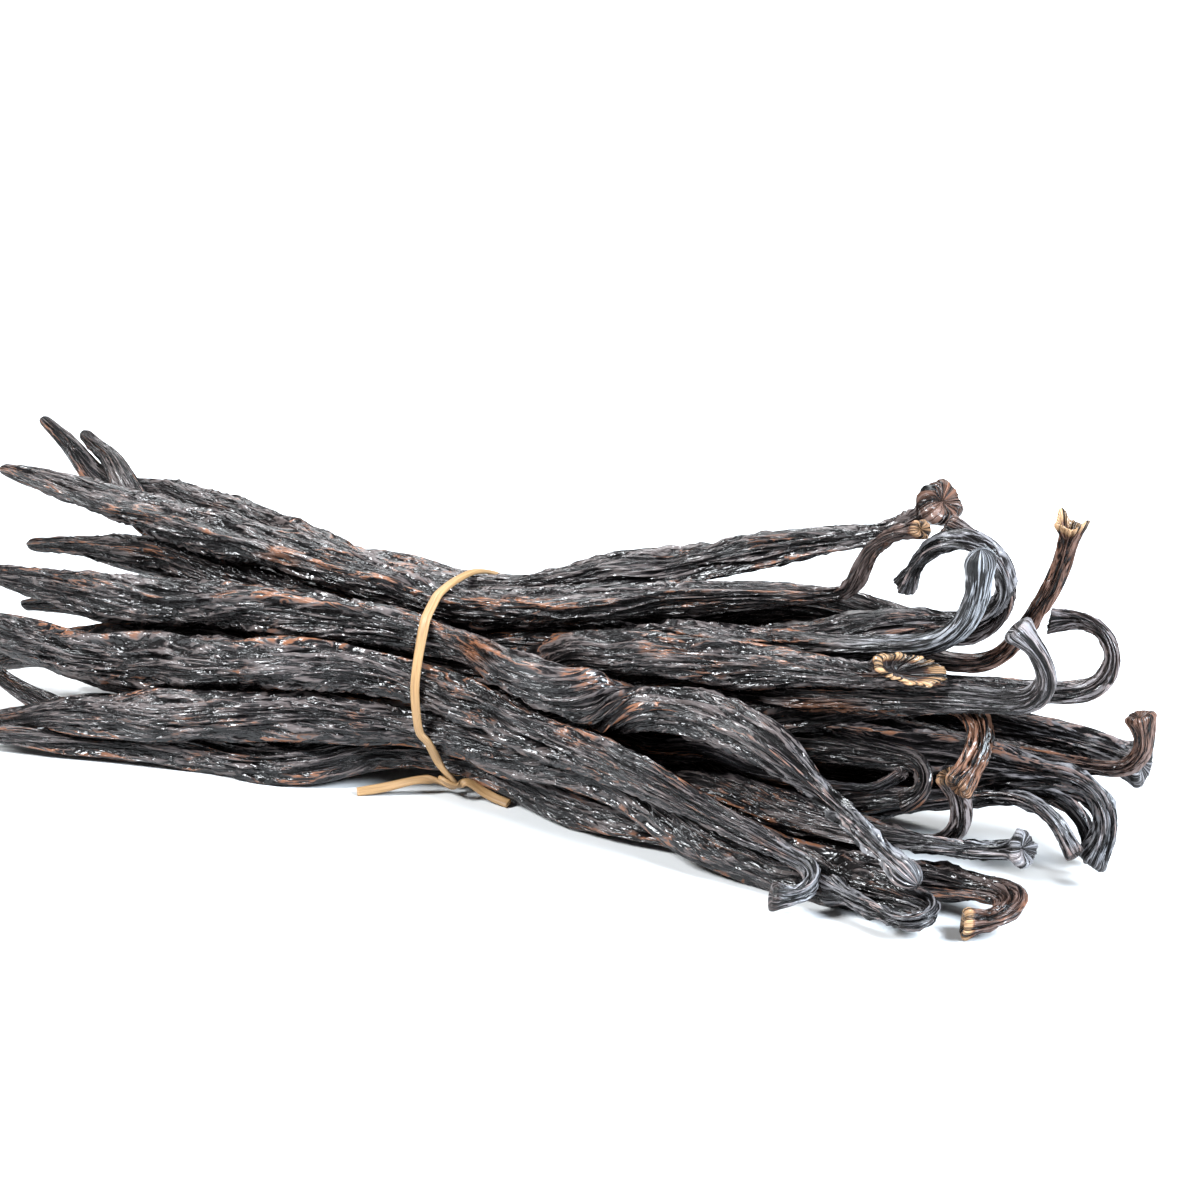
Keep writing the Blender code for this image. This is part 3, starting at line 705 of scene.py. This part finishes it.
# from the knot: along the bundle, round the loop, outwards
CROSSING_IN = [(-1.9, -1.2, 1.0), (0.4, -1.0, 1.5), (1.3, 0.3, 1.1), (0.7, 1.9, 0.4)]
CROSSING_OUT = [(-0.7, -1.7, 0.2), (-1.1, 0.3, 0.7), (0.2, 1.2, 1.3), (1.9, 0.2, 1.4)]
LEFT_TAIL = [(-10.8, -17.4, 0.6), (-6.1, -14.6, 1.5), (-1.8, -12.3, 2.6)]
RIGHT_TAIL = [(6.6, -11.4, 3.4), (9.3, -10.4, 1.9), (14.1, -10.4, 0.6)]
TAIL_FACING = (0, -0.6, 0.8)


def points_of(made):
    """Return the points of an object in mm, from the foot of the strand's loop."""
    flat = np.empty(3 * len(made.data.vertices))
    made.data.vertices.foreach_get("co", flat)
    return flat.reshape(-1, 3) / MM - ORIGIN_SHIFT


def band_round(points):
    """Return angles, and the band's places and outward directions there, round points near x = 0."""
    near = points[np.abs(points[:, 0]) < 2][:, 1:] - (0, TIE_HEIGHT)
    degrees = np.arange(0, 360, ANGLE_STEP)
    angles = np.radians(degrees)
    outward = np.stack([-np.cos(angles), np.sin(angles)], axis=1)
    onward = np.stack([np.sin(angles), np.cos(angles)], axis=1)
    reach = (near @ outward.T).max(axis=0) + STRAND_THICKNESS / 2
    window = np.hanning(BAND_SOFTNESS + 2)[1:-1]
    reach = np.convolve(np.pad(reach, BAND_SOFTNESS // 2, mode="wrap"), window / window.sum(), "valid")
    slope = (np.roll(reach, -1) - np.roll(reach, 1)) / (2 * math.radians(ANGLE_STEP))
    place = reach[:, None] * outward + slope[:, None] * onward + (0, TIE_HEIGHT)
    from_knot = (degrees - KNOT_ANGLE + 180) % 360 - 180
    pull = KNOT_PULL * np.exp(-(from_knot / KNOT_PULL_REACH) ** 2)
    order = np.argsort((degrees - KNOT_ANGLE) % 360)
    return (((degrees - KNOT_ANGLE) % 360)[order], np.column_stack([pull, place])[order],
            np.column_stack([0 * pull, outward])[order])


def strand_object(points):
    """Return the strand: one smooth line through tail, knot, band, knot and tail, and a flat oval on it."""
    degrees, places, outward = band_round(points)
    knot, out = places[0], outward[0]
    onward = np.array((0, out[2], -out[1]))
    axes = np.stack([(1, 0, 0), onward, out])
    band = (degrees > KNOT_GAP) & (degrees < 360 - KNOT_GAP) & (degrees % BAND_STEP < ANGLE_STEP)
    line = np.vstack([LEFT_TAIL, knot + CROSSING_IN @ axes, places[band],
                      knot + CROSSING_OUT @ axes, RIGHT_TAIL])
    facing = np.vstack([[TAIL_FACING] * len(LEFT_TAIL), [out] * len(CROSSING_IN), outward[band],
                        [out] * len(CROSSING_OUT), [TAIL_FACING] * len(RIGHT_TAIL)])
    path, share = spaced(spline_through(np.hstack([line, facing]), 15 * LINE_POINTS), STRAND_SPACING)
    line, facing = path[:, :3], path[:, 3:]
    length = share * run_along(line)[-1]
    tangents, _ = carried_frames(line)
    facing = facing - tangents * (facing * tangents).sum(axis=1)[:, None]
    facing /= np.linalg.norm(facing, axis=1)[:, None]
    across = np.cross(tangents, facing)
    angles = np.linspace(0, 2 * math.pi, STRAND_AROUND, endpoint=False)
    by_knot = np.exp(-(np.linalg.norm(line - knot, axis=1) / KNOT_REACH) ** 2)
    width = STRAND_WIDTH * (1 - 0.25 * by_knot + 0.16 * along(length, 9, 31))
    grid = len(length), len(angles)
    place = np.stack([np.broadcast_to(np.cos(angles) * STRAND_WIDTH, grid),
                      np.broadcast_to(np.sin(angles), grid),
                      np.broadcast_to(length[:, None], grid)], axis=2)
    thick = STRAND_THICKNESS * (1 + 0.35 * noise(place / (0.5, 1, 9), 41))
    square = np.sign(np.cos(angles)) * np.abs(np.cos(angles)) ** 0.7
    rings = (line[:, None] + 0.5 * (width[:, None] * square)[:, :, None] * across[:, None]
             + 0.5 * (thick * np.sin(angles))[:, :, None] * facing[:, None])
    print("the strand is", round(length[-1]), "mm long")
    return closed_tube("strand", rings, {"skin": place})

# %% [markdown]
# ## Materials
# A material is a small calculation: where on the skin a point lies decides its colour, its roughness and
# its finest relief.  To write that as plain sums, one class wraps the output of a shader node, so that
# a * b + 1 adds the Math nodes by itself; colours go through Mix nodes instead, which keep their hue.

# %% Shader sums
class Signal:
    """The output of a shader node, with the arithmetic that adds Math nodes."""

    def __init__(self, finish, socket):
        self.finish, self.socket = finish, socket

    def math(self, operation, *values):
        """Return the result of a Math node in the same material."""
        return self.finish.math(operation, *values)

    def __add__(self, other): return self.math("ADD", self, other)
    def __radd__(self, other): return self.math("ADD", other, self)
    def __sub__(self, other): return self.math("SUBTRACT", self, other)
    def __rsub__(self, other): return self.math("SUBTRACT", other, self)
    def __mul__(self, other): return self.math("MULTIPLY", self, other)
    def __rmul__(self, other): return self.math("MULTIPLY", other, self)


class Finish:
    """A material with one Principled shader, and the calls that add nodes to it."""

    def __init__(self, name, **constants):
        self.material = bpy.data.materials.new(name)
        self.material.use_nodes = True
        self.tree = self.material.node_tree
        self.shader = self.tree.nodes["Principled BSDF"]
        for key, value in constants.items():
            self.shader.inputs[key.replace("_", " ")].default_value = value

    def node(self, kind, settings, sockets):
        """Add a node: first its settings, then the values or links of its sockets. Return its outputs."""
        made = self.tree.nodes.new("ShaderNode" + kind)
        for key, value in settings.items():
            setattr(made, key, value)
        for key, value in sockets.items():
            if isinstance(value, Signal):
                self.tree.links.new(value.socket, made.inputs[key])
            else:
                made.inputs[key].default_value = value
        return {output.name: Signal(self, output) for output in made.outputs if output.enabled}

    def feed(self, key, signal):
        """Link a signal to one of the shader's own sockets."""
        self.tree.links.new(signal.socket, self.shader.inputs[key])

    def attribute(self, name, output="Fac"):
        """Return what a piece's mesh stores under name."""
        return self.node("Attribute", {"attribute_name": name}, {})[output]

    def math(self, operation, *values):
        """Return the result of a Math node."""
        return self.node("Math", {"operation": operation}, dict(enumerate(values)))["Value"]

    def noise(self, place, scale, stretch=(1, 1, 1), detail=3.0, roughness=0.55, distortion=0.0):
        """Return noise, 0 to 1, of a place that is first stretched along its axes."""
        place = self.node("VectorMath", {"operation": "MULTIPLY"}, {0: place, 1: stretch})["Vector"]
        return self.node("TexNoise", {}, {"Vector": place, "Scale": scale, "Detail": detail,
                                          "Roughness": roughness, "Distortion": distortion})["Fac"]

    def ramp(self, value, low, high):
        """Return 0 where value is under low, 1 over high, and a smooth step between."""
        return self.node("MapRange", {"interpolation_type": "SMOOTHSTEP"},
                         {"Value": value, "From Min": low, "From Max": high})["Result"]

    def mix(self, factor, first, second):
        """Return a colour between two, each a signal or three numbers."""
        first, second = (c if isinstance(c, Signal) else (*c, 1) for c in (first, second))
        return self.node("Mix", {"data_type": "RGBA"}, {0: factor, 6: first, 7: second})["Result"]


# %% [markdown]
# ## The pods' skin
# Cured skin is dark brown on its flats.  Its grooves are nearly black, partly their own colour and partly
# painted shade, and its crests are paler, partly rubbed and partly a painted highlight; where the skin is
# thin along a seam it shows red-brown.  It is oily, so it shines like soft leather: the rubbed crests are
# the smoothest, and the grey bloom on the dry stems, which is partly a painted highlight on their crests,
# dulls them.  The folds are real relief in the mesh; only the fine fibres between them are bump, drawn out
# along the pod by stretching the noise.

# %% Skin finish
# groove colour: partly the skin's own, partly painted shade; crest colour: partly rubbed skin, partly a
# painted highlight
GROOVE_AND_SHADE = (0.003, 0.0025, 0.0025)
FLAT = (0.009, 0.0075, 0.0077)
CREST_AND_HIGHLIGHT = (0.086, 0.070, 0.067)
RUST = (0.16, 0.066, 0.034)
BROWN = (0.17, 0.066, 0.030)
TAN = (0.48, 0.28, 0.14)
# pale grey-blue of the curls' crests: the dry stems' own grey, partly a painted highlight
BLOOM_AND_HIGHLIGHT = (0.32, 0.33, 0.355)


def skin_finish():
    """Return the pods' material: colour from crest height, rusty and tan patches, fine fibre bump."""
    skin = Finish("vanilla_skin", IOR=1.40)
    place = skin.attribute("skin", "Vector")
    crest, seam = skin.attribute("crest"), skin.attribute("seam")
    soft = skin.noise(place, 1.0, (1.6, 1.6, 0.20), detail=3, roughness=0.5, distortion=0.5)
    fibres = 1 - skin.math("ABSOLUTE", soft * 2 - 1) * 4.5
    coarse = skin.noise(place, 1.0, (0.8, 0.8, 0.09), detail=2)
    veins = 1 - skin.math("ABSOLUTE", coarse * 2 - 1) * 4
    patches = skin.noise(place, 0.2, (1, 1, 0.4), detail=4)
    height = skin.ramp(crest * 0.7 + 0.4 * fibres + 0.25 * veins, 0.0, 1.05)
    # colour follows crest height: darkest in the grooves, which is partly painted shade, and palest on the
    # crests, which is partly a painted highlight
    colour = skin.mix(skin.ramp(height, 0.10, 0.60), GROOVE_AND_SHADE, FLAT)
    colour = skin.mix(skin.ramp(height, 0.60, 1.0), colour, CREST_AND_HIGHLIGHT)
    rusty = skin.ramp(patches + 0.14 * seam, 0.53, 0.63) * skin.ramp(fibres + 0.3 * seam, 0.55, 1.0)
    colour = skin.mix(rusty * skin.ramp(height, 0.6, 0.9), colour, RUST)
    # grey bloom on the curls' crests: partly the dry stems' own grey, partly a painted highlight
    bloom_and_highlight = skin.attribute("bloom_and_highlight")
    colour = skin.mix(bloom_and_highlight * skin.ramp(height, 0.50, 1.0) * 0.85, colour, BLOOM_AND_HIGHLIGHT)
    cut = skin.attribute("cut")
    warm = skin.mix(skin.ramp(cut, 0.45, 0.9), BROWN, TAN)
    colour = skin.mix(skin.ramp(cut, 0.0, 0.6) * skin.ramp(height, 0.25, 0.9) * 0.85, colour, warm)
    skin.feed("Base Color", colour)
    skin.feed("Roughness", 0.24 - 0.12 * height + 0.14 * bloom_and_highlight)
    relief = fibres * 0.6 + veins
    bump = skin.node("Bump", {}, {"Strength": 1.0, "Distance": 0.20 * MM, "Height": relief})
    skin.feed("Normal", bump["Normal"])
    return skin.material


# %% Raffia finish
STRAW = (0.31, 0.18, 0.078)
STRAW_SHADE = (0.20, 0.115, 0.048)


def raffia_finish():
    """Return the strand's material: pale straw with darker fibres drawn out along it."""
    straw = Finish("raffia", Roughness=0.5, IOR=1.45)
    fibres = straw.noise(straw.attribute("skin", "Vector"), 1.0, (4, 4, 0.2), detail=4)
    straw.feed("Base Color", straw.mix(straw.ramp(fibres, 0.35, 0.6), STRAW_SHADE, STRAW))
    return straw.material


# %% All pieces
def place_piece(piece, material, node):
    """Give a piece its material, and hand it over in place of a node of the solid model."""
    piece.data.materials.append(material)
    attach(piece, "root")
    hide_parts(node)


pods = [pod_object(name) for name in PODS]
skin = skin_finish()
for pod in pods:
    place_piece(pod, skin, "pods")
# the spindle's finish is painted shade: the darkest groove colour, dull
dark = Finish("painted_shade", Base_Color=(*GROOVE_AND_SHADE, 1), Roughness=0.8, IOR=1.3)
place_piece(shade_core_object(), dark.material, "pods")
strand = strand_object(np.vstack([points_of(pod) for pod in pods]))
place_piece(strand, raffia_finish(), "tie")
meshes = [piece.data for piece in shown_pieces() if piece.type == "MESH"]
print("triangles:", sum(len(face.vertices) - 2 for mesh in meshes for face in mesh.polygons))

# %% [markdown]
# ## Floor, light and camera
# A white table under a wide, even light, as in a small product studio.

# %% Stage
TABLE = (0.60, 0.60, 0.60)


def plain_floor():
    """Make the white table top, just under the bundle."""
    reach = 3.0
    mesh = bpy.data.meshes.new("floor")
    mesh.from_pydata([(-reach, -reach, 0), (reach, -reach, 0), (reach, reach, 0), (-reach, reach, 0)],
                     [], [(0, 1, 2, 3)])
    floor = bpy.data.objects.new("floor", mesh)
    bpy.context.scene.collection.objects.link(floor)
    mesh.materials.append(Finish("table", Base_Color=(*TABLE, 1), Roughness=0.6).material)


def soft_light(name, azimuth, elevation, distance, size, power, colour):
    """Add a square area light that looks at the bundle from that direction."""
    light = bpy.data.lights.new(name, "AREA")
    light.shape = "SQUARE"
    light.size, light.energy, light.color = size, power, colour
    made = bpy.data.objects.new(name, light)
    _, _, back = camera_axes(azimuth, elevation)
    made.location = back * distance
    made.rotation_euler = (math.pi / 2 - math.radians(elevation), 0, math.radians(azimuth))
    bpy.context.scene.collection.objects.link(made)


def camera_axes(azimuth, elevation):
    """Return the right, up and backward directions of something that looks at the bundle."""
    turn, tilt = math.radians(azimuth), math.radians(elevation)
    right = np.array((math.cos(turn), math.sin(turn), 0))
    back = np.array((math.sin(turn) * math.cos(tilt), -math.cos(turn) * math.cos(tilt), math.sin(tilt)))
    return right, np.cross(back, right), back


# name, azimuth and elevation in degrees, distance and size in m, power in W, colour
LIGHTS = [
    ("overhead", 235, 60, 1.2, 0.9, 22, (0.95, 0.98, 1.0)),
    ("front", -40, 42, 1.2, 0.3, 31, (0.93, 0.97, 1.0)),
    ("window", 78, 36, 1.1, 0.4, 44, (0.80, 0.90, 1.0)),
]
ROOM_LIGHT = 0.16
plain_floor()
for light in LIGHTS:
    soft_light(*light)
world = bpy.data.worlds.new("studio")
world.use_nodes = True
world.node_tree.nodes["Background"].inputs["Color"].default_value = (1, 1, 1, 1)
world.node_tree.nodes["Background"].inputs["Strength"].default_value = ROOM_LIGHT
bpy.context.scene.world = world
bpy.context.scene.view_settings.view_transform = "Standard"

# %% Camera
AZIMUTH, ELEVATION = 28, 18
DISTANCE = 600               # from the strand's loop, mm
AIM = (22.5, 12)             # the middle of the view: right of and above the loop's centre
LENS, SENSOR = 108, 36
right, up, back = camera_axes(AZIMUTH, ELEVATION)
lens = bpy.data.cameras.new("camera")
lens.lens, lens.sensor_width = LENS, SENSOR
camera = bpy.data.objects.new("camera", lens)
place = np.array((0, 0, TIE_HEIGHT)) + AIM[0] * right + AIM[1] * up + DISTANCE * back
camera.location = (place + ORIGIN_SHIFT) * MM
camera.rotation_euler = (math.pi / 2 - math.radians(ELEVATION), 0, math.radians(AZIMUTH))
bpy.context.scene.collection.objects.link(camera)
bpy.context.scene.camera = camera
